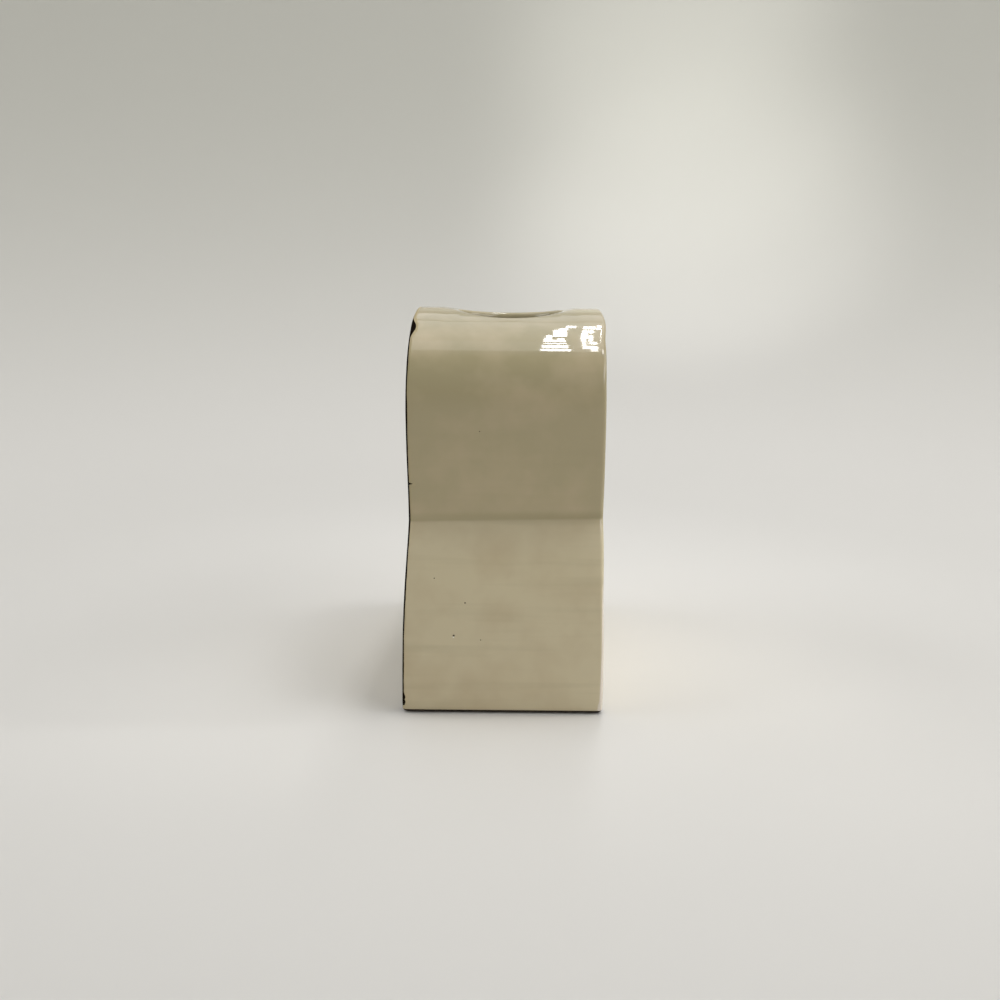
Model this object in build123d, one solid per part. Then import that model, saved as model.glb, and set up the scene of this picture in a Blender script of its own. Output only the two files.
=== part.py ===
from build123d import *
import os
from math import atan, cos, sqrt

# Slab-built pillow vase, millimetres, +Z up, origin at the middle of the underside.
# The broad faces look along -Y (front) and +Y (back); the bulging narrow sides look along X.

# Height at the crown, and the depth between the broad faces, which lean together upwards
height = 160.0
base_depth = 82.0
top_depth = 78.5

# Outline of the narrow sides: full width at the foot, at both bulges and at the waist between them
base_width = 140.0
belly_width = 142.0
belly_height = 28.0
waist_width = 113.0
waist_height = 77.5
upper_width = 121.0
shoulder_radius = 32.0
crown_radius = 94.0
crease_radius = 2.5

# Clay sheets, and the rounding of their outer edges
wall = 5.5
panel_thickness = 5.5
base_thickness = 6.0
edge_radius = 1.6

# Mouth in the crown, an oval that is nearly round, and the rounding of its lip, under half the wall
mouth_length = 44.0
mouth_depth = 44.5
lip_radius = 2.2
lip_share = 0.45

# Coils pressed into the inner corners, and the layer of slip between a coil and a bent wall
coil_leg = 4.0
slip_gap = 0.3


def side_outline(inset):
    """Outline of the narrow sides and the crown, moved inwards by inset, as an upright face."""
    base_x = base_width / 2 - inset
    belly_x = belly_width / 2 - inset
    lean_at_waist = 2 * atan((belly_width - waist_width) / 2 / (waist_height - belly_height))
    waist_x = waist_width / 2 - inset / cos(lean_at_waist)
    upper_x = upper_width / 2 - inset

    # The shoulder arc leaves the upper bulge upright and runs on into the flatter crown arc
    shoulder_x = upper_width / 2 - shoulder_radius
    centres_apart = crown_radius - shoulder_radius
    crown_centre = Vector(0, height - crown_radius)
    shoulder_centre = Vector(shoulder_x, crown_centre.Y + sqrt(centres_apart**2 - shoulder_x**2))
    to_shoulder = (shoulder_centre - crown_centre).normalized()
    shoulder_end = crown_centre + to_shoulder * (crown_radius - inset)

    belly = (belly_x, belly_height)
    waist = (waist_x, waist_height)
    upper = (upper_x, shoulder_centre.Y)
    right_side = [
        TangentArc(belly, (base_x, 0), tangent=(0, -1)),
        TangentArc(belly, waist, tangent=(0, 1)),
        TangentArc(upper, waist, tangent=(0, -1)),
        TangentArc(upper, shoulder_end, tangent=(0, 1)),
    ]
    left_side = [mirror(arc, about=Plane.YZ) for arc in right_side]
    foot = Line((-base_x, 0), (base_x, 0))
    crown = ThreePointArc(shoulder_end, (0, height - inset), (-shoulder_end.X, shoulder_end.Y))
    outline = make_face(Curve() + [foot, crown] + right_side + left_side)

    by_waist = sorted(outline.vertices(), key=lambda corner: abs(corner.Y - waist_height))
    return Plane.XZ * fillet(by_waist[:2], crease_radius + inset)


def side_prism(inset):
    """The side outline carried straight through, past the front and the back."""
    return extrude(side_outline(inset), base_depth, both=True)


def between_sheets(inset):
    """The space between the two leaning broad faces, each moved inwards by inset."""
    low = base_depth / 2 - inset
    high = top_depth / 2 - inset
    section = Polyline((-low, 0), (low, 0), (high, height), (-high, height), close=True)
    return extrude(Plane.YZ * make_face(section), belly_width, both=True)


def band(low, high):
    """Everything between two heights."""
    return Pos(0, 0, (low + high) / 2) * Box(2 * belly_width, 2 * base_depth, high - low)


def half(along_x, along_y):
    """Everything on one side of the middle; the side is given by a step of -1 or 1 along X or Y."""
    middle = Pos(along_x * belly_width, along_y * base_depth, height / 2)
    return middle * Box(2 * belly_width, 2 * base_depth, 2 * height)


def rounded_body():
    """The whole outer form, with the edges of the broad faces and of the foot rounded."""
    body = side_prism(0) & between_sheets(0)
    front_to_back = body.faces().sort_by(Axis.Y)
    foot = body.faces().sort_by(Axis.Z)[0]
    rims = front_to_back[0].edges() + front_to_back[-1].edges() + foot.edges()
    return fillet(rims, edge_radius)


def crown_with_mouth(strip):
    """The strip over the top, with the oval mouth cut down through it and both rims rounded."""
    oval = Ellipse(mouth_length / 2, mouth_depth / 2)
    cut = Pos(0, 0, waist_height) * extrude(oval, height)
    crown = strip - cut
    rims = new_edges(strip, cut, combined=crown).filter_by(GeomType.LINE, reverse=True)
    return fillet(rims, min(lip_radius, lip_share * wall))


def pressed_coil(hollow, corner):
    """Clay pressed into an inner corner: the hollow less the same hollow with that corner bevelled."""
    return hollow - chamfer(corner, coil_leg)


# The outer form and the regions that divide it into sheets
body = rounded_body()
core = between_sheets(panel_thickness)
above_base = band(base_thickness, 2 * height)
below_waist = band(0, waist_height)
left, right = half(-1, 0), half(1, 0)
front, back = half(0, -1), half(0, 1)

# Broad sheets stand on the base and close the edges of the bent strips
sheets = (body & above_base) - core
strips = (body & above_base & core) - side_prism(wall)

# Coils line the hollow, clear of the bent walls by the layer of slip.
# One runs up and over the inside of each broad sheet, and one along each edge of the floor.
hollow = side_prism(wall + slip_gap) & core & above_base
front_to_back = hollow.faces().sort_by(Axis.Y)
floor = hollow.faces().sort_by(Axis.Z)[0].edges()
front_coil = pressed_coil(hollow, front_to_back[0].edges().filter_by(GeomType.LINE, reverse=True))
back_coil = pressed_coil(hollow, front_to_back[-1].edges().filter_by(GeomType.LINE, reverse=True))
front_base_coil = pressed_coil(hollow, floor.sort_by(Axis.Y)[0]) - front_coil
back_base_coil = pressed_coil(hollow, floor.sort_by(Axis.Y)[-1]) - back_coil
long_coils = [front_coil, back_coil, front_base_coil, back_base_coil]
left_base_coil = pressed_coil(hollow, floor.sort_by(Axis.X)[0]) - long_coils
right_base_coil = pressed_coil(hollow, floor.sort_by(Axis.X)[-1]) - long_coils

parts = {
    "base_slab": body - above_base,
    "front_panel": sheets & front,
    "back_panel": sheets & back,
    "left_wall": strips & below_waist & left,
    "right_wall": strips & below_waist & right,
    "crown_wall": crown_with_mouth(strips - below_waist),
    "front_coil": front_coil,
    "back_coil": back_coil,
    "front_base_coil": front_base_coil,
    "back_base_coil": back_base_coil,
    "left_base_coil": left_base_coil,
    "right_base_coil": right_base_coil,
}

os.makedirs("parts", exist_ok=True)
for node, piece in parts.items():
    export_step(piece, f"parts/{node}.step")
    print(f"{node:16s} solids {len(piece.solids())}  volume {piece.volume / 1000:8.2f} cm3")
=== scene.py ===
import math

import bmesh
import bpy
from mathutils import Matrix, Vector, noise
from mathutils.geometry import intersect_sphere_sphere_2d
from mathutils.kdtree import KDTree


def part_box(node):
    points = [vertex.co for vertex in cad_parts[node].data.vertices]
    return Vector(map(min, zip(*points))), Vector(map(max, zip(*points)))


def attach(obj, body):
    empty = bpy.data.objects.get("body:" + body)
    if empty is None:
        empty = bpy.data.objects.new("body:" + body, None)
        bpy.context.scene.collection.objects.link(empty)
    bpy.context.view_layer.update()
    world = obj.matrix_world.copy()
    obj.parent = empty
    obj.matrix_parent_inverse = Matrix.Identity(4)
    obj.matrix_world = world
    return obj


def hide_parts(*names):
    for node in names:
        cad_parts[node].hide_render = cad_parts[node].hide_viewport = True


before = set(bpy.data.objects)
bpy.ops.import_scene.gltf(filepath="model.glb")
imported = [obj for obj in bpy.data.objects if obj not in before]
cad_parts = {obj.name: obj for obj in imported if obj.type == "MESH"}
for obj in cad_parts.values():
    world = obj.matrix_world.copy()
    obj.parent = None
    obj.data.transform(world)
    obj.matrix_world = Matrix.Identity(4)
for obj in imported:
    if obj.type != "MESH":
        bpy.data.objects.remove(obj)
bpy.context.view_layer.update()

mm = 0.001

# Side outline, foot to crown: what a node's box gives is read from the frame
outline = {
    "footHalf": 70.0 * mm,
    "bellyHalf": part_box("front_panel")[1].x,
    "bellyRise": 28.0 * mm,
    "waistHalf": 56.5 * mm,
    "waistRise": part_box("crown_wall")[0].z,
    "upperHalf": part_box("crown_wall")[1].x,
    "shoulderRadius": 32.0 * mm,
    "crownRadius": 94.0 * mm,
    "height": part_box("crown_wall")[1].z,
    "creaseRadius": 1.3 * mm,  # the slip is wiped off, so the crease is tighter than in the solids
    "slabTop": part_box("base_slab")[1].z,
    "stepLength": 1.4 * mm,  # one mesh step round the outline
    "slabStep": 2.0 * mm,  # and up the side of the base, longer than its rounding
}
clay = {
    "footDepth": 82.0 * mm,  # front to back at the foot
    "topDepth": 78.5 * mm,  # front to back at the crown
    "sheet": 5.5 * mm,  # thickness of every rolled sheet
    "edgeRadius": 1.6 * mm,
    "edgeSegments": 5,
    "sharpTurn": math.radians(42),  # a sharper turn between two faces is shaded as an edge
    "stepsAcross": 34,  # mesh steps from front to back of a strip
    "stepsWide": 44,  # mesh steps from side to side of the base
}
outerHalf = clay["footDepth"] / 2  # middle plane to a broad face, at the foot
innerHalf = outerHalf - clay["sheet"]  # middle plane to the ends of the strips

# How far the clay strays from the drawn shape, always inwards
hand = {
    "frontHollow": 1.2 * mm,  # the front sheet sinks in at the waist
    "hollowSpread": 30.0 * mm,
    "backInset": 0.7 * mm,  # the back sheet sits in below the shoulder
    "flareRise": 130.0 * mm,
    "flareLength": 20.0 * mm,
    "backFlare": 1.65 * mm,  # and leans out again over the crown
    "backFlareRise": 147.0 * mm,
    "backFlareLength": 9.0 * mm,
    "frontTuck": 0.4 * mm,  # the top of the front sheet is pressed round
    "frontTuckRise": 154.0 * mm,
    "frontTuckLength": 6.0 * mm,
    "backHollow": 0.4 * mm,
    "backHollowRise": 47.0 * mm,
    "backHollowSpread": 16.0 * mm,
    "creaseTilt": 0.9 * mm,  # the crease sits lower at the front than at the back
    "creaseSpread": 14.0 * mm,
    "wander": 0.3 * mm,  # slow unevenness of the rolled sheets, longer across than up
    "wanderAcross": 150.0 * mm,
    "wanderUp": 34.0 * mm,
    "sag": 0.7 * mm,  # the broad sheets sink a little in the middle
    "sagSize": 50.0 * mm,
    "footTuck": 0.8 * mm,  # the edge of the foot is pressed in
    "footTuckRise": 3.2 * mm,
}


def bell(value, middle, spread):
    return math.exp(-(((value - middle) / spread) ** 2))


def ease(value, start, length):
    share = max(0.0, min(1.0, (value - start) / length))
    return share * share * (3 - 2 * share)


def handBuilt(point):
    x, y, z = point
    share = max(-1.0, min(1.0, y / innerHalf))  # -1 at the front sheet, 1 at the back sheet
    front, back = max(0.0, -share), max(0.0, share)
    lean = (clay["footDepth"] - clay["topDepth"]) / 2 * z / outline["height"]
    frontIn = lean + hand["frontHollow"] * bell(z, outline["waistRise"], hand["hollowSpread"])
    frontIn += hand["frontTuck"] * ease(z, hand["frontTuckRise"], hand["frontTuckLength"])
    backIn = lean + hand["backInset"] * (1 - ease(z, hand["flareRise"], hand["flareLength"]))
    backIn -= hand["backFlare"] * ease(z, hand["backFlareRise"], hand["backFlareLength"])
    backIn += hand["backHollow"] * bell(z, hand["backHollowRise"], hand["backHollowSpread"])
    middle = 1 - min(1.0, abs(x) / outline["upperHalf"]) ** 2
    middle *= math.sin(math.pi * min(1.0, z / outline["height"]))
    sagNoise = noise.noise((x / hand["sagSize"], share, z / hand["sagSize"]))
    sink = hand["sag"] * middle * (0.5 - 0.5 * sagNoise)
    sideways = math.copysign(1.0, x)
    uneven = noise.noise((sideways, y / hand["wanderAcross"], z / hand["wanderUp"]))
    inward = hand["wander"] * (0.5 - 0.5 * uneven)
    x -= sideways * inward * min(1.0, abs(x) / outline["shoulderRadius"])
    y += front * (frontIn + sink) - back * (backIn + sink)
    tuck = hand["footTuck"] * (1 - min(1.0, z / hand["footTuckRise"])) ** 2
    x *= 1 - tuck / outline["footHalf"]
    y *= 1 - tuck / outerHalf
    z += hand["creaseTilt"] * share * bell(z, outline["waistRise"], hand["creaseSpread"])
    z -= inward * ease(z, outline["waistRise"], outline["height"] - outline["waistRise"])
    return Vector((x, y, z))


def bulgeArc(half, rise, endHalf, endRise):
    drawIn = half - endHalf  # the arc is upright at the bulge and ends drawn in by this much
    climb = endRise - rise
    radius = (drawIn**2 + climb**2) / (2 * drawIn)
    return Vector((half - radius, 0, rise)), radius


def bearing(centre, point):
    return math.atan2(point.z - centre.z, point.x - centre.x)


def outlineArcs():
    o = outline
    lowCentre, lowRadius = bulgeArc(o["bellyHalf"], o["bellyRise"], o["footHalf"], 0)
    bellyCentre, bellyRadius = bulgeArc(o["bellyHalf"], o["bellyRise"], o["waistHalf"], o["waistRise"])
    crownCentre = Vector((0, 0, o["height"] - o["crownRadius"]))
    shoulderX = o["upperHalf"] - o["shoulderRadius"]
    shoulderClimb = math.sqrt((o["crownRadius"] - o["shoulderRadius"]) ** 2 - shoulderX**2)
    shoulderCentre = crownCentre + Vector((shoulderX, 0, shoulderClimb))
    upperCentre, upperRadius = bulgeArc(o["upperHalf"], shoulderCentre.z, o["waistHalf"], o["waistRise"])
    crossings = intersect_sphere_sphere_2d(
        bellyCentre.xz, bellyRadius + o["creaseRadius"], upperCentre.xz, upperRadius + o["creaseRadius"]
    )
    crossing = max(crossings, key=lambda place: place.x)  # the crease is hollow, so its centre is outside
    creaseCentre = Vector((crossing.x, 0, crossing.y))
    slabTurn = -math.asin((o["bellyRise"] - o["slabTop"]) / lowRadius)
    bellyTurn = bearing(bellyCentre, creaseCentre)
    upperTurn = bearing(upperCentre, creaseCentre)
    jointTurn = math.pi - math.asin((o["waistRise"] - creaseCentre.z) / o["creaseRadius"])
    crownTurn = bearing(crownCentre, shoulderCentre)
    slab = [(lowCentre, lowRadius, -math.asin(o["bellyRise"] / lowRadius), slabTurn)]
    lower = [
        (lowCentre, lowRadius, slabTurn, 0),
        (bellyCentre, bellyRadius, 0, bellyTurn),
        (creaseCentre, o["creaseRadius"], math.pi + bellyTurn, jointTurn),
    ]
    upper = [
        (creaseCentre, o["creaseRadius"], jointTurn, math.pi + upperTurn),
        (upperCentre, upperRadius, upperTurn, 0),
        (shoulderCentre, o["shoulderRadius"], 0, crownTurn),
        (crownCentre, o["crownRadius"], crownTurn, math.pi / 2),
    ]
    return slab, lower, upper


slabArcs, lowerArcs, upperArcs = outlineArcs()


def growOutline(bm, arcs, stepLength=outline["stepLength"]):
    centre, radius, start, end = arcs[0]
    vert = bm.verts.new(centre + radius * Vector((math.cos(start), 0, math.sin(start))))
    for centre, radius, start, end in arcs:
        steps = max(3, round(abs(end - start) * radius / stepLength))
        made = bmesh.ops.spin(
            bm, geom=[vert], cent=centre, axis=(0, -1, 0), angle=end - start, steps=steps
        )
        vert = next(g for g in made["geom_last"] if isinstance(g, bmesh.types.BMVert))


def mirrorOutline(bm):
    bmesh.ops.mirror(bm, geom=bm.verts[:] + bm.edges[:], axis="X", merge_dist=0.01 * mm)


def drawAcross(bm, start, length, steps):
    bmesh.ops.translate(bm, verts=bm.verts[:], vec=(0, start, 0))
    bmesh.ops.spin(
        bm,
        geom=bm.verts[:] + bm.edges[:],
        cent=(0, 0, 0),
        axis=(0, 1, 0),
        dvec=(0, length / steps, 0),
        angle=0,
        steps=steps,
    )


def faceOutwards(bm):
    bmesh.ops.remove_doubles(bm, verts=bm.verts[:], dist=0.001 * mm)
    bmesh.ops.recalc_face_normals(bm, faces=bm.faces[:])
    outermost = max(bm.faces, key=lambda face: abs(face.calc_center_median().dot(face.normal)))
    if outermost.calc_center_median().dot(outermost.normal) < 0:
        bmesh.ops.reverse_faces(bm, faces=bm.faces[:])


def giveThickness(bm):
    outside = set(bm.faces)
    bmesh.ops.solidify(bm, geom=bm.faces[:], thickness=clay["sheet"])
    for face in bm.faces:
        face.material_index = 0 if face in outside else 1


def roundEdges(bm, edges, radius, segments):
    bmesh.ops.bevel(
        bm,
        geom=edges,
        offset=radius,
        segments=segments,
        profile=0.5,
        affect="EDGES",
        material=-1,
        clamp_overlap=False,
    )


def outlinePoints():
    bm = bmesh.new()
    growOutline(bm, slabArcs + lowerArcs + upperArcs)
    mirrorOutline(bm)
    points = KDTree(len(bm.verts))
    for i, vert in enumerate(bm.verts):
        points.insert(vert.co, i)
    points.balance()
    bm.free()
    return points


edgePoints = outlinePoints()


def markEdge(bm):
    fromEdge = bm.verts.layers.float.new("fromEdge")  # metres in from the outline, less than 0 on the side
    for vert in bm.verts:
        inset = edgePoints.find((vert.co.x, 0, vert.co.z))[2]
        vert[fromEdge] = inset - (outerHalf - abs(vert.co.y))


def finishPiece(name, bm, materials):
    for vert in bm.verts:
        vert.co = handBuilt(vert.co)
    mesh = bpy.data.meshes.new(name)
    bm.to_mesh(mesh)
    bm.free()
    mesh.shade_smooth()
    mesh.set_sharp_from_angle(angle=clay["sharpTurn"])
    for material in materials:
        mesh.materials.append(material)
    piece = bpy.data.objects.new(name, mesh)
    bpy.context.scene.collection.objects.link(piece)
    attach(piece, "root")
    print("piece", name, len(mesh.polygons), "faces")
    return piece


# Materials


def hexColour(code):
    channels = [int(code[i : i + 2], 16) / 255 for i in (1, 3, 5)]
    return [c / 12.92 if c <= 0.04045 else ((c + 0.055) / 1.055) ** 2.4 for c in channels] + [1.0]


def addNode(tree, kind, settings={}, inputs={}):
    node = tree.nodes.new(kind)
    for name, value in settings.items():
        setattr(node, name, value)
    for name, value in inputs.items():
        if isinstance(value, bpy.types.NodeSocket):
            tree.links.new(value, node.inputs[name])
        else:
            node.inputs[name].default_value = value
    return node


def newMaterial(name):
    material = bpy.data.materials.new(name)
    material.use_nodes = True
    material.node_tree.nodes.clear()
    return material, material.node_tree


# Cream stoneware glaze, brushed on and fired glossy: clear gloss over faint clouds and brush streaks,
# darker and greener above the waist (the darkening partly painted shade), painted shade over the crown
# and in the crease, a painted highlight along the top, and a few pinholes
glaze = {
    "cream": "#D3C7A8",
    # darker and greener above the waist, the darkening partly painted shade
    "aboveWaist": "#B6AA89",
    # painted shade over the crown
    "crown": "#ACA17E",
    "warm": "#C5B595",
    "streak": "#B2A686",
    # painted shade in the crease
    "creaseShadeColour": "#958C67",
    "cloudSize": 24.0 * mm,
    "cloudCut": (0.42, 0.7, 0.7),  # where the clouds start, where they are full, and how strong
    "streakCut": (0.5, 0.8, 0.35),  # the same for the streaks
    "streakHeight": 5.0 * mm,
    "streakLength": 80.0 * mm,
    "waistBlend": 5.0 * mm,  # height over which it turns darker at the waist
    "broadBlend": 110.0 * mm,  # the same on the broad faces, where there is no crease
    "broadEdge": 9.0 * mm,  # how far in from the edge that takes
    "crownShadeBlend": (118.0 * mm, 136.0 * mm),  # and where painted shade darkens it over the crown
    "crestHighlight": "#C6BB99",  # and a painted highlight lightens it again along the top
    "crestHighlightBlend": (158.3 * mm, 158.8 * mm),
    "creaseShadeHeight": 4.5 * mm,  # the painted crease shade hangs above the crease and ends sharply in it
    "creaseShadeEdge": 0.5 * mm,
    "creaseShadeStrength": 0.45,
    "peelSize": 9.0 * mm,  # slow ripples that bend reflections
    "peelDepth": 0.0008 * mm,
    "paler": "#E3D9CC",  # a painted highlight on the back edge low down, wider towards the foot
    "edgeHighlightRise": 60.0 * mm,
    "edgeHighlightFade": 48.0 * mm,
    "edgeHighlightSoft": 0.4 * mm,
    "edgeHighlightEnd": (1.5 * mm, 3.0 * mm),
    "edgeHighlightReach": (-0.2 * mm, -1.9 * mm),
    # painted shade in the pinholes
    "pitShade": "#3B2F24",
    "pitCore": 0.4,  # share of a pinhole's radius that is fully dark
    "pitDepth": 0.3 * mm,
    # painted glint
    "glint": "#F6F2E6",
    "roughness": 0.03,
    "ior": 1.5,
}
pinholes = [  # across, up and radius, on the right-hand side
    (-20.1 * mm, 33.5 * mm, 0.55 * mm),
    (-15.7 * mm, 46.6 * mm, 0.40 * mm),
    (-9.4 * mm, 31.8 * mm, 0.30 * mm),
    (-28.0 * mm, 55.9 * mm, 0.30 * mm),
    (-10.5 * mm, 113.8 * mm, 0.28 * mm),
]
glints = [(-20.2 * mm, 32.85 * mm, 0.42 * mm)]  # painted glint in the largest pinhole

# Black slip line brushed round the front sheet and left dry: solid, dull, uneven in width,
# and it runs over the edge
slipLine = {
    "colour": "#0D0A08",
    "paler": "#241C16",
    "roughness": 0.6,
    "edgeSpecular": 0.0,  # dry, with no gloss of its own
    "width": 4.2 * mm,
    "unevenness": 1.8 * mm,
    "unevenSize": 11.0 * mm,
    "softEdge": 0.12 * mm,
    "wrap": 0.35 * mm,  # how far it runs round on to the side
    "leastWrap": 0.2 * mm,
    "crownFade": (154.0 * mm, 157.0 * mm),  # heights over which it draws back from the edge again
    "footFade": (3.6 * mm, 2.8 * mm),
    "drawBack": 1.3 * mm,
    "blotSpread": 1.6,  # how much taller than its core a blot fades out
    "blots": [  # how high, how tall and how far round on to the side
        (152.5 * mm, 2.6 * mm, 1.9 * mm),
        (92.4 * mm, 0.35 * mm, 1.7 * mm),
        (7.0 * mm, 1.5 * mm, 0.9 * mm),
        (4.9 * mm, 0.8 * mm, 0.6 * mm),
    ],
}


def glazeLayers(tree, place):
    axes = addNode(tree, "ShaderNodeSeparateXYZ", {}, {"Vector": place}).outputs
    clouds = addNode(
        tree,
        "ShaderNodeTexNoise",
        {},
        {"Vector": place, "Scale": 1 / glaze["cloudSize"], "Detail": 3.0, "Roughness": 0.55},
    ).outputs["Fac"]
    stretched = addNode(
        tree,
        "ShaderNodeMapping",
        {},
        {
            "Vector": place,
            "Scale": (1 / glaze["streakLength"], 1 / glaze["streakLength"], 1 / glaze["streakHeight"]),
        },
    ).outputs["Vector"]
    streaks = addNode(
        tree, "ShaderNodeTexNoise", {}, {"Vector": stretched, "Scale": 1.0, "Detail": 2.0}
    ).outputs["Fac"]
    edge = addNode(tree, "ShaderNodeAttribute", {"attribute_name": "fromEdge"}).outputs["Fac"]
    spread = addNode(
        tree,
        "ShaderNodeMapRange",
        {"interpolation_type": "SMOOTHSTEP"},
        {
            "Value": edge,
            "From Max": glaze["broadEdge"],
            "To Min": glaze["waistBlend"] / 2,
            "To Max": glaze["broadBlend"] / 2,
        },
    ).outputs["Result"]
    bottom, top = (
        addNode(
            tree, "ShaderNodeMath", {"operation": operation}, {0: outline["waistRise"], 1: spread}
        ).outputs["Value"]
        for operation in ("SUBTRACT", "ADD")
    )
    # share of the darker tone above the waist, partly painted shade
    aboveWaist = addNode(
        tree,
        "ShaderNodeMapRange",
        {"interpolation_type": "SMOOTHSTEP"},
        {"Value": axes["Z"], "From Min": bottom, "From Max": top},
    ).outputs["Result"]
    tone = addNode(
        tree,
        "ShaderNodeMix",
        {"data_type": "RGBA"},
        {0: aboveWaist, 6: hexColour(glaze["cream"]), 7: hexColour(glaze["aboveWaist"])},
    ).outputs[2]
    # painted shade over the crown, then a painted highlight along the top
    for rises, colour in ((glaze["crownShadeBlend"], "crown"), (glaze["crestHighlightBlend"], "crestHighlight")):
        share = addNode(
            tree,
            "ShaderNodeMapRange",
            {"interpolation_type": "SMOOTHSTEP"},
            {"Value": axes["Z"], "From Min": rises[0], "From Max": rises[1]},
        ).outputs["Result"]
        tone = addNode(
            tree, "ShaderNodeMix", {"data_type": "RGBA"}, {0: share, 6: tone, 7: hexColour(glaze[colour])}
        ).outputs[2]
    for value, cut, colour in ((clouds, "cloudCut", "warm"), (streaks, "streakCut", "streak")):
        low, high, most = glaze[cut]
        share = addNode(
            tree,
            "ShaderNodeMapRange",
            {},
            {"Value": value, "From Min": low, "From Max": high, "To Max": most},
        ).outputs["Result"]
        tone = addNode(
            tree, "ShaderNodeMix", {"data_type": "RGBA"}, {0: share, 6: tone, 7: hexColour(glaze[colour])}
        ).outputs[2]

    # The painted crease shade follows the tilt of the crease and stays off the broad faces
    tilted = addNode(
        tree,
        "ShaderNodeMath",
        {"operation": "MULTIPLY_ADD"},
        {0: axes["Y"], 1: -hand["creaseTilt"] / innerHalf, 2: axes["Z"]},
    ).outputs["Value"]
    away = addNode(
        tree,
        "ShaderNodeMath",
        {"operation": "SUBTRACT"},
        {0: tilted, 1: outline["waistRise"]},
    ).outputs["Value"]
    creaseShade = addNode(
        tree,
        "ShaderNodeMapRange",
        {"interpolation_type": "SMOOTHSTEP"},
        {"Value": away, "From Max": glaze["creaseShadeHeight"], "To Min": glaze["creaseShadeStrength"], "To Max": 0.0},
    ).outputs["Result"]
    aboveCrease = addNode(
        tree,
        "ShaderNodeMapRange",
        {"interpolation_type": "SMOOTHSTEP"},
        {"Value": away, "From Min": -glaze["creaseShadeEdge"], "From Max": glaze["creaseShadeEdge"]},
    ).outputs["Result"]
    creaseShade = addNode(
        tree, "ShaderNodeMath", {"operation": "MULTIPLY"}, {0: creaseShade, 1: aboveCrease}
    ).outputs["Value"]
    onSide = addNode(
        tree,
        "ShaderNodeMapRange",
        {},
        {"Value": edge, "From Min": 0.0, "From Max": clay["edgeRadius"], "To Min": 1.0, "To Max": 0.0},
    ).outputs["Result"]
    creaseShade = addNode(
        tree, "ShaderNodeMath", {"operation": "MULTIPLY"}, {0: creaseShade, 1: onSide}
    ).outputs["Value"]
    # painted crease shade mixed into the tone
    tone = addNode(
        tree, "ShaderNodeMix", {"data_type": "RGBA"}, {0: creaseShade, 6: tone, 7: hexColour(glaze["creaseShadeColour"])}
    ).outputs[2]
    return axes, edge, tone, streaks


def addDots(tree, axes, dots):
    flat = addNode(tree, "ShaderNodeCombineXYZ", {}, {"Y": axes["Y"], "Z": axes["Z"]}).outputs["Vector"]
    onRight = addNode(
        tree, "ShaderNodeMath", {"operation": "GREATER_THAN"}, {0: axes["X"], 1: outline["shoulderRadius"]}
    ).outputs["Value"]
    total = None
    for across, up, radius in dots:
        reach = addNode(
            tree, "ShaderNodeVectorMath", {"operation": "DISTANCE"}, {0: flat, 1: (0, across, up)}
        ).outputs["Value"]
        dot = addNode(
            tree,
            "ShaderNodeMapRange",
            {"interpolation_type": "SMOOTHSTEP"},
            {
                "Value": reach,
                "From Min": glaze["pitCore"] * radius,
                "From Max": radius,
                "To Min": 1.0,
                "To Max": 0.0,
            },
        ).outputs["Result"]
        dot = addNode(
            tree, "ShaderNodeMath", {"operation": "MULTIPLY"}, {0: dot, 1: onRight}
        ).outputs["Value"]
        if total:
            dot = addNode(
                tree, "ShaderNodeMath", {"operation": "MAXIMUM"}, {0: total, 1: dot}
            ).outputs["Value"]
        total = dot
    return total


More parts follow.
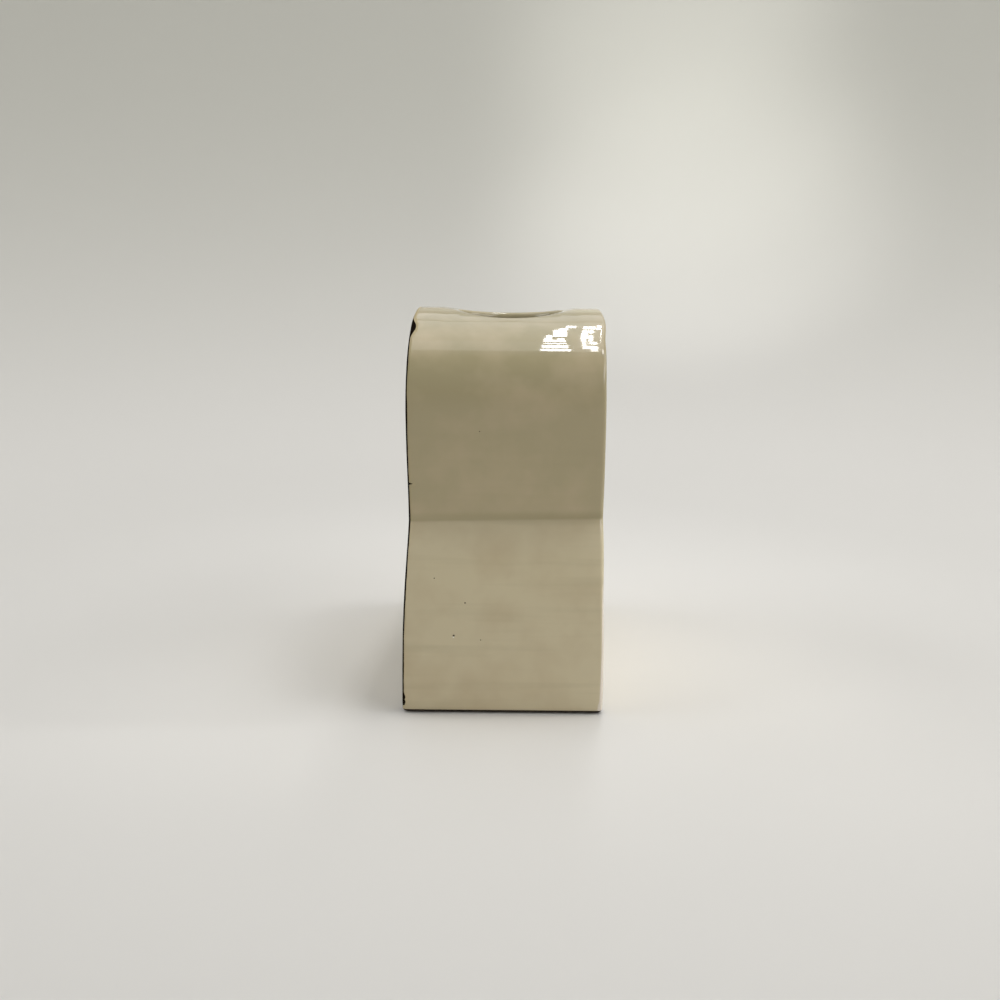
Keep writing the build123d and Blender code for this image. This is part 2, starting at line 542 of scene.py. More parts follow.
def slipMask(tree, place, axes, edge):
    uneven = addNode(
        tree,
        "ShaderNodeTexNoise",
        {},
        {"Vector": place, "Scale": 1 / slipLine["unevenSize"], "Detail": 4.0, "Roughness": 0.6},
    ).outputs["Fac"]
    inner = addNode(
        tree,
        "ShaderNodeMapRange",
        {"clamp": False},
        {
            "Value": uneven,
            "To Min": slipLine["width"] - slipLine["unevenness"],
            "To Max": slipLine["width"] + slipLine["unevenness"],
        },
    ).outputs["Result"]
    wrap = addNode(
        tree,
        "ShaderNodeMapRange",
        {},
        {
            "Value": uneven,
            "From Min": 0.3,
            "From Max": 0.7,
            "To Min": slipLine["leastWrap"],
            "To Max": 2 * slipLine["wrap"],
        },
    ).outputs["Result"]
    for start, end in (slipLine["crownFade"], slipLine["footFade"]):
        drawBack = addNode(
            tree,
            "ShaderNodeMapRange",
            {"interpolation_type": "SMOOTHSTEP"},
            {"Value": axes["Z"], "From Min": start, "From Max": end, "To Max": slipLine["drawBack"]},
        ).outputs["Result"]
        wrap = addNode(
            tree, "ShaderNodeMath", {"operation": "SUBTRACT"}, {0: wrap, 1: drawBack}
        ).outputs["Value"]
    for up, spread, reach in slipLine["blots"]:
        away = addNode(
            tree, "ShaderNodeMath", {"operation": "SUBTRACT"}, {0: axes["Z"], 1: up}
        ).outputs["Value"]
        away = addNode(tree, "ShaderNodeMath", {"operation": "ABSOLUTE"}, {0: away}).outputs["Value"]
        blot = addNode(
            tree,
            "ShaderNodeMapRange",
            {"interpolation_type": "SMOOTHSTEP"},
            {"Value": away, "From Max": slipLine["blotSpread"] * spread, "To Min": reach, "To Max": 0.0},
        ).outputs["Result"]
        wrap = addNode(tree, "ShaderNodeMath", {"operation": "ADD"}, {0: wrap, 1: blot}).outputs["Value"]
    beyond = addNode(tree, "ShaderNodeMath", {"operation": "ADD"}, {0: edge, 1: wrap}).outputs["Value"]
    within = addNode(
        tree, "ShaderNodeMath", {"operation": "SUBTRACT"}, {0: inner, 1: edge}
    ).outputs["Value"]
    least = addNode(
        tree, "ShaderNodeMath", {"operation": "MINIMUM"}, {0: beyond, 1: within}
    ).outputs["Value"]
    return addNode(
        tree,
        "ShaderNodeMapRange",
        {"interpolation_type": "SMOOTHSTEP"},
        {"Value": least, "From Min": -slipLine["softEdge"], "From Max": slipLine["softEdge"]},
    ).outputs["Result"]


# painted highlight along the back edge low down
def paintedEdgeHighlight(tree, axes, edge):
    reach = addNode(
        tree,
        "ShaderNodeMapRange",
        {},
        {
            "Value": axes["Z"],
            "From Min": glaze["edgeHighlightRise"],
            "From Max": 0.0,
            "To Min": glaze["edgeHighlightReach"][0],
            "To Max": glaze["edgeHighlightReach"][1],
        },
    ).outputs["Result"]
    past = addNode(tree, "ShaderNodeMath", {"operation": "SUBTRACT"}, {0: edge, 1: reach}).outputs["Value"]
    over = addNode(
        tree,
        "ShaderNodeMapRange",
        {"interpolation_type": "SMOOTHSTEP"},
        {"Value": past, "From Max": glaze["edgeHighlightSoft"]},
    ).outputs["Result"]
    low = addNode(
        tree,
        "ShaderNodeMapRange",
        {"interpolation_type": "SMOOTHSTEP"},
        {
            "Value": axes["Z"],
            "From Min": glaze["edgeHighlightRise"],
            "From Max": glaze["edgeHighlightFade"],
        },
    ).outputs["Result"]
    onEdge = addNode(
        tree,
        "ShaderNodeMapRange",
        {"interpolation_type": "SMOOTHSTEP"},
        {
            "Value": edge,
            "From Min": glaze["edgeHighlightEnd"][0],
            "From Max": glaze["edgeHighlightEnd"][1],
            "To Min": 1.0,
            "To Max": 0.0,
        },
    ).outputs["Result"]
    share = addNode(tree, "ShaderNodeMath", {"operation": "MULTIPLY"}, {0: over, 1: low}).outputs["Value"]
    return addNode(tree, "ShaderNodeMath", {"operation": "MULTIPLY"}, {0: share, 1: onEdge}).outputs["Value"]


def brushedGlaze(name, painted, specular=0.5, edgeHighlighted=False):
    material, tree = newMaterial(name)
    place = addNode(tree, "ShaderNodeTexCoord").outputs["Object"]
    axes, edge, tone, streaks = glazeLayers(tree, place)
    pits = addDots(tree, axes, pinholes)
    roughness = glaze["roughness"]
    # painted shade in the pinholes and a painted glint in the largest one
    for dots, colour in ((pits, "pitShade"), (addDots(tree, axes, glints), "glint")):
        tone = addNode(
            tree, "ShaderNodeMix", {"data_type": "RGBA"}, {0: dots, 6: tone, 7: hexColour(glaze[colour])}
        ).outputs[2]
    if edgeHighlighted:
        edgeHighlightShare = paintedEdgeHighlight(tree, axes, edge)
        tone = addNode(
            tree, "ShaderNodeMix", {"data_type": "RGBA"}, {0: edgeHighlightShare, 6: tone, 7: hexColour(glaze["paler"])}
        ).outputs[2]
    if painted:
        mask = slipMask(tree, place, axes, edge)
        slip = addNode(
            tree,
            "ShaderNodeMix",
            {"data_type": "RGBA"},
            {0: streaks, 6: hexColour(slipLine["colour"]), 7: hexColour(slipLine["paler"])},
        ).outputs[2]
        tone = addNode(tree, "ShaderNodeMix", {"data_type": "RGBA"}, {0: mask, 6: tone, 7: slip}).outputs[2]
        roughness = addNode(
            tree,
            "ShaderNodeMapRange",
            {},
            {"Value": mask, "To Min": glaze["roughness"], "To Max": slipLine["roughness"]},
        ).outputs["Result"]
    peel = addNode(
        tree, "ShaderNodeTexNoise", {}, {"Vector": place, "Scale": 1 / glaze["peelSize"], "Detail": 1.0}
    ).outputs["Fac"]
    ripple = addNode(
        tree, "ShaderNodeBump", {}, {"Height": peel, "Distance": glaze["peelDepth"], "Strength": 1.0}
    ).outputs["Normal"]
    dented = addNode(
        tree,
        "ShaderNodeBump",
        {"invert": True},
        {"Height": pits, "Distance": glaze["pitDepth"], "Strength": 1.0, "Normal": ripple},
    ).outputs["Normal"]
    shader = addNode(
        tree,
        "ShaderNodeBsdfPrincipled",
        {},
        {
            "Base Color": tone,
            "Roughness": roughness,
            "IOR": glaze["ior"],
            "Specular IOR Level": specular,
            "Normal": dented,
        },
    )
    addNode(tree, "ShaderNodeOutputMaterial", {}, {"Surface": shader.outputs["BSDF"]})
    return material


# The same glaze poured round the inside: glossy, a little darker as painted shade, with soft runs down the
# walls
poured = {
    "tone": "#B0A484",
    "run": "#9C9071",
    "runWidth": 7.0 * mm,
    "runLength": 90.0 * mm,
    "roughness": 0.1,
    "ior": 1.5,
}


def pouredGlaze(name):
    material, tree = newMaterial(name)
    place = addNode(tree, "ShaderNodeTexCoord").outputs["Object"]
    stretched = addNode(
        tree,
        "ShaderNodeMapping",
        {},
        {
            "Vector": place,
            "Scale": (1 / poured["runWidth"], 1 / poured["runWidth"], 1 / poured["runLength"]),
        },
    ).outputs["Vector"]
    runs = addNode(
        tree, "ShaderNodeTexNoise", {}, {"Vector": stretched, "Scale": 1.0, "Detail": 3.0}
    ).outputs["Fac"]
    tone = addNode(
        tree,
        "ShaderNodeMix",
        {"data_type": "RGBA"},
        {0: runs, 6: hexColour(poured["tone"]), 7: hexColour(poured["run"])},
    ).outputs[2]
    bump = addNode(
        tree, "ShaderNodeBump", {}, {"Height": runs, "Distance": 0.15 * mm, "Strength": 1.0}
    ).outputs["Normal"]
    shader = addNode(
        tree,
        "ShaderNodeBsdfPrincipled",
        {},
        {"Base Color": tone, "Roughness": poured["roughness"], "IOR": poured["ior"], "Normal": bump},
    )
    addNode(tree, "ShaderNodeOutputMaterial", {}, {"Surface": shader.outputs["BSDF"]})
    return material


# Buff stoneware, wiped clean of glaze and fired bare: dry, dull, speckled with grog,
# and at the foot's edge, where the glaze stops, bare clay painted dark brown as shade
stoneware = {
    "clay": "#B39C7B",
    "grog": "#7C6248",
    "footShade": "#2A1C0E",
    "footShadeGrog": "#1A1109",
    "grogSize": 1.1 * mm,
    "grain": 0.35 * mm,
    "roughness": 0.85,
}


def bareStoneware(name, clayColour, grogColour):
    material, tree = newMaterial(name)
    place = addNode(tree, "ShaderNodeTexCoord").outputs["Object"]
    grog = addNode(
        tree, "ShaderNodeTexVoronoi", {}, {"Vector": place, "Scale": 1 / stoneware["grogSize"]}
    ).outputs["Distance"]
    speck = addNode(
        tree,
        "ShaderNodeMapRange",
        {},
        {"Value": grog, "From Min": 0.12, "From Max": 0.3, "To Min": 1.0, "To Max": 0.0},
    ).outputs["Result"]
    tone = addNode(
        tree,
        "ShaderNodeMix",
        {"data_type": "RGBA"},
        {0: speck, 6: hexColour(clayColour), 7: hexColour(grogColour)},
    ).outputs[2]
    grain = addNode(
        tree, "ShaderNodeTexNoise", {}, {"Vector": place, "Scale": 1 / stoneware["grain"], "Detail": 2.0}
    ).outputs["Fac"]
    bump = addNode(
        tree, "ShaderNodeBump", {}, {"Height": grain, "Distance": 0.08 * mm, "Strength": 1.0}
    ).outputs["Normal"]
    shader = addNode(
        tree,
        "ShaderNodeBsdfPrincipled",
        {},
        {"Base Color": tone, "Roughness": stoneware["roughness"], "Normal": bump},
    )
    addNode(tree, "ShaderNodeOutputMaterial", {}, {"Surface": shader.outputs["BSDF"]})
    return material


outerGlaze = brushedGlaze("cream_stoneware_glaze_brushed", False)
# the back sheet's glaze carries the painted edge highlight
backGlaze = brushedGlaze("cream_stoneware_glaze_painted_edge_highlight", False, edgeHighlighted=True)
frontGlaze = brushedGlaze("cream_stoneware_glaze_slip_lined", True)
edgeGlaze = brushedGlaze("black_slip_dry_edge", True, slipLine["edgeSpecular"])
innerGlaze = pouredGlaze("cream_stoneware_glaze_poured")
bareClay = bareStoneware("buff_stoneware_bare", stoneware["clay"], stoneware["grog"])
footShadeClay = bareStoneware("buff_stoneware_painted_foot_shade", stoneware["footShade"], stoneware["footShadeGrog"])
print("materials done")

# Strips bent round the narrow sides


def sideWall(name, side):
    bm = bmesh.new()
    growOutline(bm, lowerArcs)
    drawAcross(bm, -innerHalf, 2 * innerHalf, clay["stepsAcross"])
    if side < 0:
        bmesh.ops.scale(bm, verts=bm.verts[:], vec=(-1, 1, 1))
    faceOutwards(bm)
    giveThickness(bm)
    return finishPiece(name, bm, [outerGlaze, innerGlaze])


mouth = {
    "rightLength": 24.0 * mm,  # middle to the rim on the right-hand side
    "leftLength": 20.2 * mm,
    "halfDepth": 22.25 * mm,
    "shift": 1.0 * mm,  # the mouth sits a little towards the back
    "border": 6.5 * mm,  # clay round the hole that follows its oval
    "rings": 1,
    "lipRadius": 2.4 * mm,
    "lipSegments": 6,
    "dip": 1.2 * mm,  # the clay sinks to the mouth at its front and back ends
    "dipReach": 7.0 * mm,
}


def fromMouth(x, y):
    halfLength = mouth["rightLength"] if x > 0 else mouth["leftLength"]
    return math.hypot(x / halfLength, (y - mouth["shift"]) / mouth["halfDepth"])


def crownRise(x, y):
    rise = outline["height"] - outline["crownRadius"] + math.sqrt(outline["crownRadius"] ** 2 - x * x)
    outside = (fromMouth(x, y) - 1) * mouth["halfDepth"]
    ends = min(1.0, abs(y - mouth["shift"]) / mouth["halfDepth"]) ** 2
    return rise - mouth["dip"] * ends * (1 - ease(outside, 0, mouth["dipReach"]))


def cutMouth(bm):
    reachX = mouth["rightLength"] + mouth["border"]
    reachY = mouth["halfDepth"] + mouth["border"]

    def inPatch(face):
        middle = face.calc_center_median()
        return abs(middle.x) < reachX and abs(middle.y) < reachY and middle.z > 1.5 * outline["waistRise"]

    patch = {face for face in bm.faces if inPatch(face)}
    rim = [edge for edge in bm.edges if sum(face in patch for face in edge.link_faces) == 1]
    bmesh.ops.delete(bm, geom=list(patch), context="FACES")
    made = bmesh.ops.extrude_edge_only(bm, edges=rim)["geom"]
    oval = {g for g in made if isinstance(g, bmesh.types.BMVert)}
    for vert in oval:
        stretch = fromMouth(vert.co.x, vert.co.y)
        vert.co.x /= stretch
        vert.co.y = mouth["shift"] + (vert.co.y - mouth["shift"]) / stretch
    spokes = {edge for vert in oval for edge in vert.link_edges if edge.other_vert(vert) not in oval}
    bmesh.ops.subdivide_edges(bm, edges=list(spokes), cuts=mouth["rings"], use_grid_fill=True)
    for vert in bm.verts:
        if abs(vert.co.x) < reachX + mouth["border"] and vert.co.z > 1.5 * outline["waistRise"]:
            vert.co.z = crownRise(vert.co.x, vert.co.y)

    def onOval(vert):
        return abs(fromMouth(vert.co.x, vert.co.y) - 1) < 0.01

    return [edge for edge in bm.edges if edge.is_boundary and all(map(onOval, edge.verts))]


def crownWall(name):
    bm = bmesh.new()
    growOutline(bm, upperArcs)
    mirrorOutline(bm)
    drawAcross(bm, -innerHalf, 2 * innerHalf, clay["stepsAcross"])
    lip = cutMouth(bm)
    faceOutwards(bm)
    giveThickness(bm)
    ovalWall = {face for edge in lip for face in edge.link_faces if face.material_index == 1}
    for face in ovalWall:
        face.material_index = 0
    wallEdges = {edge for face in ovalWall for edge in face.edges}
    rims = [edge for edge in wallEdges if sum(face in ovalWall for face in edge.link_faces) == 1]
    roundEdges(bm, rims, mouth["lipRadius"], mouth["lipSegments"])
    return finishPiece(name, bm, [outerGlaze, innerGlaze])


rightWall = sideWall("right_wall_glazed", 1)
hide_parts("right_wall")
leftWall = sideWall("left_wall_glazed", -1)
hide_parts("left_wall")
crown = crownWall("crown_wall_glazed")
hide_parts("crown_wall")
print("strips done")

# Broad sheets, front and back

broad = {
    "rings": [2.2 * mm, 1.2 * mm, 1.6 * mm, 2.5 * mm, 4.0 * mm],  # mesh steps in from the outline
    "linedRings": 3,  # of these, the ones that the slip line covers
    "foot": 14.0 * mm,  # drawn on below the joint by more than the rings, then cut off at the joint
    "corner": 143.0 * mm,  # the shoulder, where the sides of the mesh grid turn into its top
    "bandSteps": 5,  # mesh steps over the sheet's own edge, from its rounding to the strip
}
bandStart = outerHalf - clay["edgeRadius"]


def blotReach(rise):
    return sum(reach * bell(rise, up, spread) for up, spread, reach in slipLine["blots"])


def cutBand(bm):
    rungs = []
    for edge in bm.edges:
        start, end = sorted(abs(vert.co.y) for vert in edge.verts)
        if abs(start - innerHalf) < 0.1 * mm and abs(end - bandStart) < 0.1 * mm:
            rungs.append(edge)
    bmesh.ops.subdivide_edges(bm, edges=rungs, cuts=broad["bandSteps"] - 1, use_grid_fill=True)
    bm.normal_update()


def dryEdge(bm, index):
    for face in bm.faces:
        middle = face.calc_center_median()
        inset = edgePoints.find((middle.x, 0, middle.z))[2]
        lined = middle.y < -bandStart and inset < sum(broad["rings"][: broad["linedRings"]])
        blotted = middle.x > 0 and middle.y < blotReach(middle.z) - bandStart and abs(face.normal.y) < 0.1
        if lined or blotted:
            face.material_index = index


def broadSheet(name, side, materials):
    bm = bmesh.new()
    growOutline(bm, lowerArcs + upperArcs)
    mirrorOutline(bm)
    ends = sorted(bm.verts, key=lambda vert: vert.co.z)[:2]
    over = sum(min(vert.co.z for vert in edge.verts) > broad["corner"] for edge in bm.edges)
    feet = bmesh.ops.extrude_vert_indiv(bm, verts=ends)["verts"]
    bmesh.ops.translate(bm, verts=feet, vec=(0, 0, -broad["foot"]))
    bm.edges.new(feet)
    sheet = bmesh.ops.contextual_create(bm, geom=bm.edges[:])["faces"][0]
    for step in broad["rings"]:
        bmesh.ops.inset_region(
            bm, faces=[sheet], thickness=step, use_even_offset=True, use_boundary=True
        )

    def rise(edge):
        return sum(vert.co.z for vert in edge.verts)

    def inside(vert):
        return vert.co.z > 0 and edgePoints.find(vert.co)[2] > sum(broad["rings"]) / 2

    # Rungs from side to side up to the shoulder, then one step up to the crown
    border = sorted(sheet.edges, key=rise)
    bmesh.ops.delete(bm, geom=[sheet], context="FACES_ONLY")
    bmesh.ops.bridge_loops(bm, edges=border[1 : -over - 2])
    rungs = [edge for edge in bm.edges if edge.verts[0].co.x * edge.verts[1].co.x < -mm * mm]
    bmesh.ops.subdivide_edges(bm, edges=rungs, cuts=over - 1, use_grid_fill=True)
    top = [edge for edge in bm.edges if edge.is_boundary and all(map(inside, edge.verts))]
    top.sort(key=rise)
    bmesh.ops.bridge_loops(bm, edges=top[:over] + top[-over:])
    bmesh.ops.bisect_plane(
        bm,
        geom=bm.verts[:] + bm.edges[:] + bm.faces[:],
        plane_co=(0, 0, outline["slabTop"]),
        plane_no=(0, 0, 1),
        dist=0.005 * mm,
        clear_inner=True,
    )
    bmesh.ops.translate(bm, verts=bm.verts[:], vec=(0, side * outerHalf, 0))
    bmesh.ops.recalc_face_normals(bm, faces=bm.faces[:])
    if bm.faces[:][0].normal.y * side < 0:
        bmesh.ops.reverse_faces(bm, faces=bm.faces[:])
    giveThickness(bm)
    for face in bm.faces:
        if abs(face.normal.y) < 0.5:
            face.material_index = 0  # the sheet's own edge shows between its face and the strip

    def onArch(vert):
        away = edgePoints.find((vert.co.x, 0, vert.co.z))[2]
        return away < 0.05 * mm and abs(vert.co.y - side * outerHalf) < 0.05 * mm

    arch = [edge for edge in bm.edges if edge.calc_face_angle(0) > 1 and all(map(onArch, edge.verts))]
    roundEdges(bm, arch, clay["edgeRadius"], clay["edgeSegments"])
    cutBand(bm)
    if side < 0:
        dryEdge(bm, materials.index(edgeGlaze))
    markEdge(bm)
    return finishPiece(name, bm, materials)


frontPanel = broadSheet("front_panel_glazed", -1, [frontGlaze, innerGlaze, edgeGlaze])
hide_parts("front_panel")
backPanel = broadSheet("back_panel_glazed", 1, [backGlaze, innerGlaze])
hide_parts("back_panel")
print("broad sheets done")

# Base slab

base = {
    "inside": 0.9,  # a face that looks up this much is floor inside
    "under": -0.95,  # a face that looks down this much is the wiped underside
    "footShadeTurn": -0.12,  # the glaze stops, and the painted shade starts, where the foot's edge turns under this much
}


def baseSlab(name):
    bm = bmesh.new()
    growOutline(bm, slabArcs, outline["slabStep"])
    mirrorOutline(bm)
    bmesh.ops.bridge_loops(bm, edges=bm.edges[:])
    rungs = [edge for edge in bm.edges if edge.verts[0].co.x * edge.verts[1].co.x < -mm * mm]
    bmesh.ops.subdivide_edges(bm, edges=rungs, cuts=clay["stepsWide"] - 1, use_grid_fill=True)
    bmesh.ops.translate(bm, verts=bm.verts[:], vec=(0, -outerHalf, 0))
    made = bmesh.ops.extrude_face_region(bm, geom=bm.faces[:])["geom"]
    farVerts = [g for g in made if isinstance(g, bmesh.types.BMVert)]
    bmesh.ops.translate(bm, verts=farVerts, vec=(0, 2 * outerHalf, 0))
    bmesh.ops.recalc_face_normals(bm, faces=bm.faces[:])
    for step in range(clay["stepsAcross"] + 1):
        cutY = -innerHalf + 2 * innerHalf * step / clay["stepsAcross"]
        everything = bm.verts[:] + bm.edges[:] + bm.faces[:]
        bmesh.ops.bisect_plane(bm, geom=everything, plane_co=(0, cutY, 0), plane_no=(0, 1, 0))
    rounded = []
    for edge in bm.edges:
        low = all(vert.co.z < 0.01 * mm for vert in edge.verts)
        turn = edge.calc_face_angle(0) > math.radians(60)
        upright = abs(edge.verts[0].co.z - edge.verts[1].co.z) > 0.5 * mm
        if turn and (low or upright):
            rounded.append(edge)
    roundEdges(bm, rounded, clay["edgeRadius"], clay["edgeSegments"])
    materials = [frontGlaze, innerGlaze, bareClay, footShadeClay, edgeGlaze, backGlaze]
    cutBand(bm)
    dryEdge(bm, materials.index(edgeGlaze))
    markEdge(bm)
    for face in bm.faces:
        if face.normal.z > base["inside"]:
            face.material_index = materials.index(innerGlaze)
        elif face.normal.z < base["under"]:
            face.material_index = materials.index(bareClay)
        # the foot's turned-under edge: bare clay with painted shade
        elif face.normal.z < base["footShadeTurn"]:
            face.material_index = materials.index(footShadeClay)
        elif face.calc_center_median().y > 0:
            face.material_index = materials.index(backGlaze)
    return finishPiece(name, bm, materials)


baseSlabPiece = baseSlab("base_slab_glazed")
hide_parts("base_slab")

for name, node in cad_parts.items():
    if name.endswith("_coil"):
        node.data.materials.clear()
        node.data.materials.append(innerGlaze)
print("base and coils done")

# Floor and backdrop: one pale sweep all round the vase, with painted light on the floor near it and painted
# shade far out and up the backdrop

sweep = {
    "floorRadius": 0.4,
    "coveRadius": 0.65,
    "wallTop": 0.7,
    "coveSteps": 24,
    "steps": 96,
    "nearPaintedLight": "#DEDCD8",
    "floorColour": "#D2D0CC",
    "farPaintedShade": "#B0AFA7",
    "nearGrade": (0.08, 0.38),  # from the middle out, where the painted light near the vase turns into the floor colour
    "farGrade": (0.5, 1.17),  # and the sweep from the floor colour to the painted shade far out
    "roughness": 0.65,
}


def paleSweep():
    bm = bmesh.new()
    centre = bm.verts.new((0, 0, 0))
    foot = bm.verts.new((sweep["floorRadius"], 0, 0))
    bm.edges.new((centre, foot))
    made = bmesh.ops.spin(
        bm,
        geom=[foot],
        cent=(sweep["floorRadius"], 0, sweep["coveRadius"]),
        axis=(0, -1, 0),
        angle=math.radians(90),
        steps=sweep["coveSteps"],
    )
    top = next(g for g in made["geom_last"] if isinstance(g, bmesh.types.BMVert))
    wall = bmesh.ops.extrude_vert_indiv(bm, verts=[top])["verts"]
    bmesh.ops.translate(bm, verts=wall, vec=(0, 0, sweep["wallTop"] - top.co.z))
    bmesh.ops.spin(
        bm,
        geom=bm.verts[:] + bm.edges[:],
        cent=(0, 0, 0),
        axis=(0, 0, 1),
        angle=math.radians(360),
        steps=sweep["steps"],
        use_merge=True,
    )
    bmesh.ops.remove_doubles(bm, verts=bm.verts[:], dist=0.01 * mm)
    bmesh.ops.recalc_face_normals(bm, faces=bm.faces[:])
    mesh = bpy.data.meshes.new("pale_sweep")
    bm.to_mesh(mesh)
    bm.free()
    mesh.shade_smooth()
    material, tree = newMaterial("pale_paper_sweep")
    place = addNode(tree, "ShaderNodeTexCoord").outputs["Object"]
    reach = addNode(tree, "ShaderNodeVectorMath", {"operation": "LENGTH"}, {0: place}).outputs["Value"]
    tone = hexColour(sweep["nearPaintedLight"])
    # painted light near the vase, then painted shade far out and up the backdrop
    for grade, colour in ((sweep["nearGrade"], "floorColour"), (sweep["farGrade"], "farPaintedShade")):
        share = addNode(
            tree,
            "ShaderNodeMapRange",
            {"interpolation_type": "SMOOTHSTEP"},
            {"Value": reach, "From Min": grade[0], "From Max": grade[1]},
        ).outputs["Result"]
        tone = addNode(
            tree, "ShaderNodeMix", {"data_type": "RGBA"}, {0: share, 6: tone, 7: hexColour(sweep[colour])}
        ).outputs[2]
    shader = addNode(
        tree, "ShaderNodeBsdfPrincipled", {}, {"Base Color": tone, "Roughness": sweep["roughness"]}
    )
    addNode(tree, "ShaderNodeOutputMaterial", {}, {"Surface": shader.outputs["BSDF"]})
    mesh.materials.append(material)
    floor = bpy.data.objects.new("pale_sweep", mesh)
    bpy.context.scene.collection.objects.link(floor)


paleSweep()

# Lamps: a ceiling of strips that fades towards the camera, standing panels, two blinded windows above

lamps = {
    "ceiling": 1.2,
    "ceilingWidth": 1.2,
    "strips": [  # back edge, front edge, radiance
        (-1.25, -0.95, 0.95),
        (-0.95, -0.65, 0.9),
        (-0.65, -0.35, 0.95),
        (-0.35, -0.1, 1.45),
        (-0.1, 0.05, 1.5),
        (0.05, 0.2, 0.4),
    ],
    "panels": [  # name, place, aim, width, height, radiance
        ("back_panel", (-1.3, 0, 0.95), (0, 0, 0.95), 1.6, 0.5, 0.66),
        ("key_high", (0.02, 0.34, 1.18), (0, 0, 0), 0.2, 0.2, 10.0),
        ("key_low", (0, 1.0, 0.8), (0, 0, 0), 0.8, 0.5, 3.2),
        ("key_front", (0.6, 0.8, 0.85), (0, 0, 0), 0.6, 0.5, 3.7),
        ("left_panel", (0, -1.0, 0.85), (0, 0, 0), 0.8, 0.5, 4.1),
    ],
    "paneRadiance": 19.0,
    "paneBow": 0.31,  # columns of the windows bow outwards towards the back
    "panes": [  # front edge, back edge, left edge, right edge of each lit part
        (0.037, -0.048, 0.0576, 0.1015),
        (-0.084, -0.204, 0.0601, 0.098),
        (-0.254, -0.3, 0.0622, 0.0965),
        (-0.355, -0.458, 0.0629, 0.0951),
        (-0.458, -0.565, 0.0641, 0.0751),
        (-0.565, -0.672, 0.0672, 0.0748),
        (-0.468, -0.55, 0.083, 0.093),
        (-0.632, -0.842, 0.0772, 0.0958),
        (-0.842, -0.902, 0.0844, 0.0965),
        (-0.933, -1.022, 0.0944, 0.1073),
        (-0.893, -0.993, 0.1187, 0.1351),
        (-0.75, -0.838, 0.1187, 0.1344),
        (-0.545, -0.75, 0.1173, 0.1266),
        (-0.4, -0.545, 0.1173, 0.1237),
        (-0.18, -0.4, 0.1187, 0.1237),
        (-0.4, -0.69, 0.1284, 0.1344),
        (-0.25, -0.372, 0.1287, 0.1394),
        (-0.06, -0.183, 0.1187, 0.1401),
        (0.034, -0.06, 0.1301, 0.1394),
        (-0.885, -1.063, 0.1376, 0.1453),
        (-0.345, -0.615, 0.148, 0.165),
        (-0.615, -0.885, 0.148, 0.165),
    ],
    "spotRadius": 0.05,
    "spots": [  # name, place, aim, angle, power
        ("backdrop_glow", (0.2, 0.5, 1.5), (-0.88, 0.24, 0.22), math.radians(20), 36.0),
        ("backdrop_glow", (0.2, 0.5, 1.5), (-0.93, 0.24, 0.42), math.radians(20), 24.0),
        ("backdrop_glow", (0.2, 0.5, 1.5), (-0.98, 0.24, 0.62), math.radians(20), 28.0),
        ("floor_patch", (0.15, 1.0, 0.55), (0.01, 0.05, 0.01), math.radians(7), 14.0),
        ("front_patch", (0.35, 0.0, 1.1), (0.115, 0.0, 0.0), math.radians(6), 5.0),
        ("edge_glow", (0.0, 0.8, 0.22), (0.065, 0.041, 0.035), math.radians(5), 20.0),
    ],
    "ambient": "#3A3A39",  # dim sky for the light, pale sky for what the glaze mirrors
    "mirroredSky": "#A6A6A4",
}

# Lamps in place


def hangLamp(name, lamp, place, aim, turn=0.0):
    holder = bpy.data.objects.new(name, lamp)
    holder.location = place
    holder.rotation_euler = (0, 0, turn)
    if aim:
        holder.rotation_euler = (Vector(place) - Vector(aim)).to_track_quat("Z", "Y").to_euler()
    bpy.context.scene.collection.objects.link(holder)
    return holder


def flatLamp(name, place, aim, width, height, radiance, turn=0.0):
    lamp = bpy.data.lights.new(name, "AREA")
    lamp.shape = "RECTANGLE"
    lamp.size = width
    lamp.size_y = height
    lamp.energy = radiance * math.pi * width * height
    hangLamp(name, lamp, place, aim, turn)


def spotLamp(name, place, aim, angle, power):
    lamp = bpy.data.lights.new(name, "SPOT")
    lamp.spot_size = angle
    lamp.spot_blend = 1.0
    lamp.shadow_soft_size = lamps["spotRadius"]
    lamp.energy = power
    hangLamp(name, lamp, place, aim).visible_glossy = False  # the glaze does not mirror it


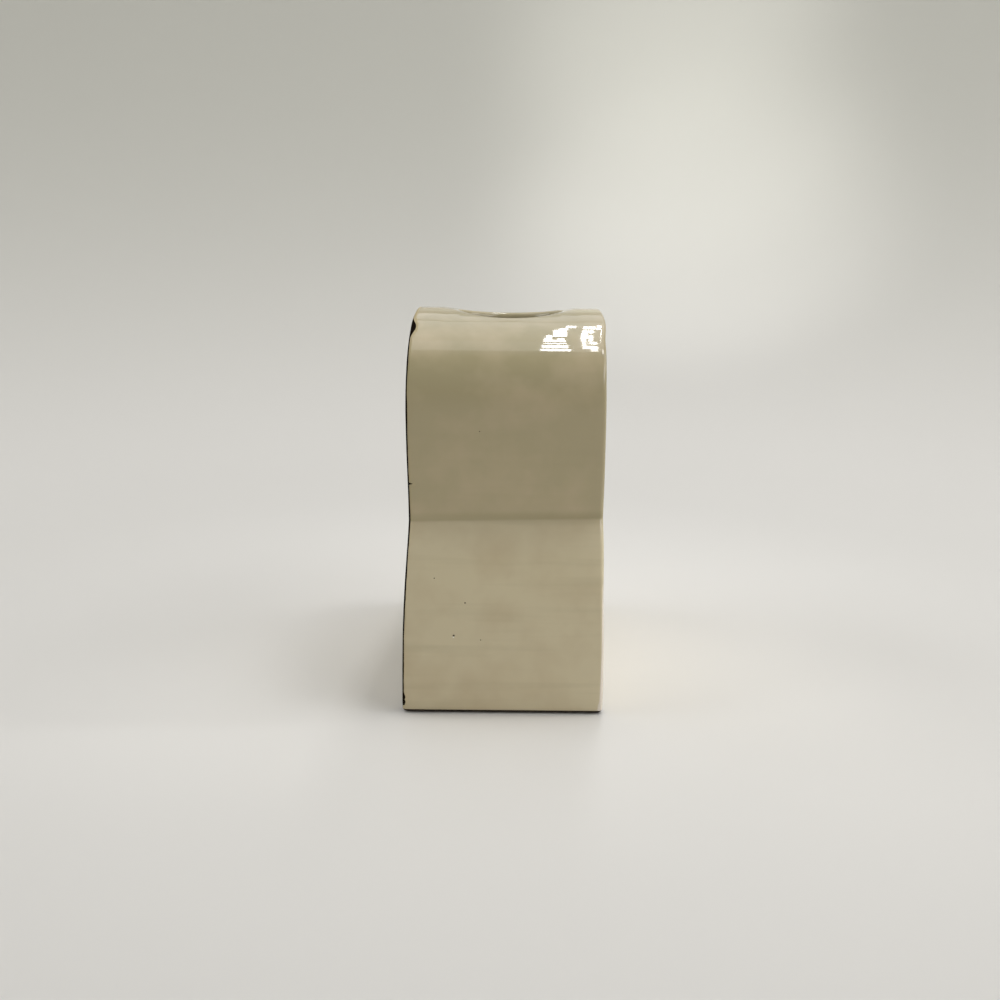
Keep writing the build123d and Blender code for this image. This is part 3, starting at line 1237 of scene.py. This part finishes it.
for back, front, radiance in lamps["strips"]:
    stripPlace = ((front + back) / 2, 0, lamps["ceiling"])
    flatLamp("ceiling_strip", stripPlace, None, front - back, lamps["ceilingWidth"], radiance)
for name, place, aim, width, height, radiance in lamps["panels"]:
    flatLamp(name, place, aim, width, height, radiance)
for front, back, left, right in lamps["panes"]:
    middle = (front + back) / 2
    bow = 1 + lamps["paneBow"] * middle**2
    turn = math.atan((left + right) * lamps["paneBow"] * middle)
    panePlace = (middle, (left + right) / 2 * bow, lamps["ceiling"] - 0.01)
    paneHeight = (right - left) * bow
    flatLamp("window_part", panePlace, None, front - back, paneHeight, lamps["paneRadiance"], turn)

for name, place, aim, angle, power in lamps["spots"]:
    spotLamp(name, place, aim, angle, power)

world = bpy.data.worlds.new("studio")
world.use_nodes = True
sky = world.node_tree
rays = addNode(sky, "ShaderNodeLightPath").outputs
seen = addNode(
    sky, "ShaderNodeMath", {"operation": "MAXIMUM"}, {0: rays["Is Camera Ray"], 1: rays["Is Glossy Ray"]}
).outputs["Value"]
seen = addNode(
    sky, "ShaderNodeMath", {"operation": "MAXIMUM"}, {0: seen, 1: rays["Is Transmission Ray"]}
).outputs["Value"]
skyTone = addNode(
    sky,
    "ShaderNodeMix",
    {"data_type": "RGBA"},
    {0: seen, 6: hexColour(lamps["ambient"]), 7: hexColour(lamps["mirroredSky"])},
).outputs[2]
sky.links.new(skyTone, sky.nodes["Background"].inputs["Color"])
bpy.context.scene.world = world
print("stage and lamps done")

# Camera: side on, a little above the crown, looking down

lens = {
    "distance": 447.0 * mm,
    "turn": math.radians(-0.17),
    "sideStep": -2.08 * mm,
    "height": 171.29 * mm,
    "pitch": math.radians(12.36),
    "roll": math.radians(0.62),
    "focalLength": 36.0,
    "sensor": 36.0,
}


def sideCamera():
    data = bpy.data.cameras.new("side_camera")
    data.lens = lens["focalLength"]
    data.sensor_width = lens["sensor"]
    data.clip_start = 0.01
    holder = bpy.data.objects.new("side_camera", data)
    turn, pitch = lens["turn"], lens["pitch"]
    place = Vector((math.cos(turn), math.sin(turn), 0)) * lens["distance"]
    place += Vector((0, lens["sideStep"], lens["height"]))
    ahead = Vector((-math.cos(turn) * math.cos(pitch), -math.sin(turn) * math.cos(pitch), -math.sin(pitch)))
    aim = ahead.to_track_quat("-Z", "Y").to_matrix().to_4x4()
    holder.matrix_world = Matrix.Translation(place) @ aim @ Matrix.Rotation(lens["roll"], 4, "Z")
    bpy.context.scene.collection.objects.link(holder)
    bpy.context.scene.camera = holder


sideCamera()
bpy.context.scene.view_settings.view_transform = "Standard"
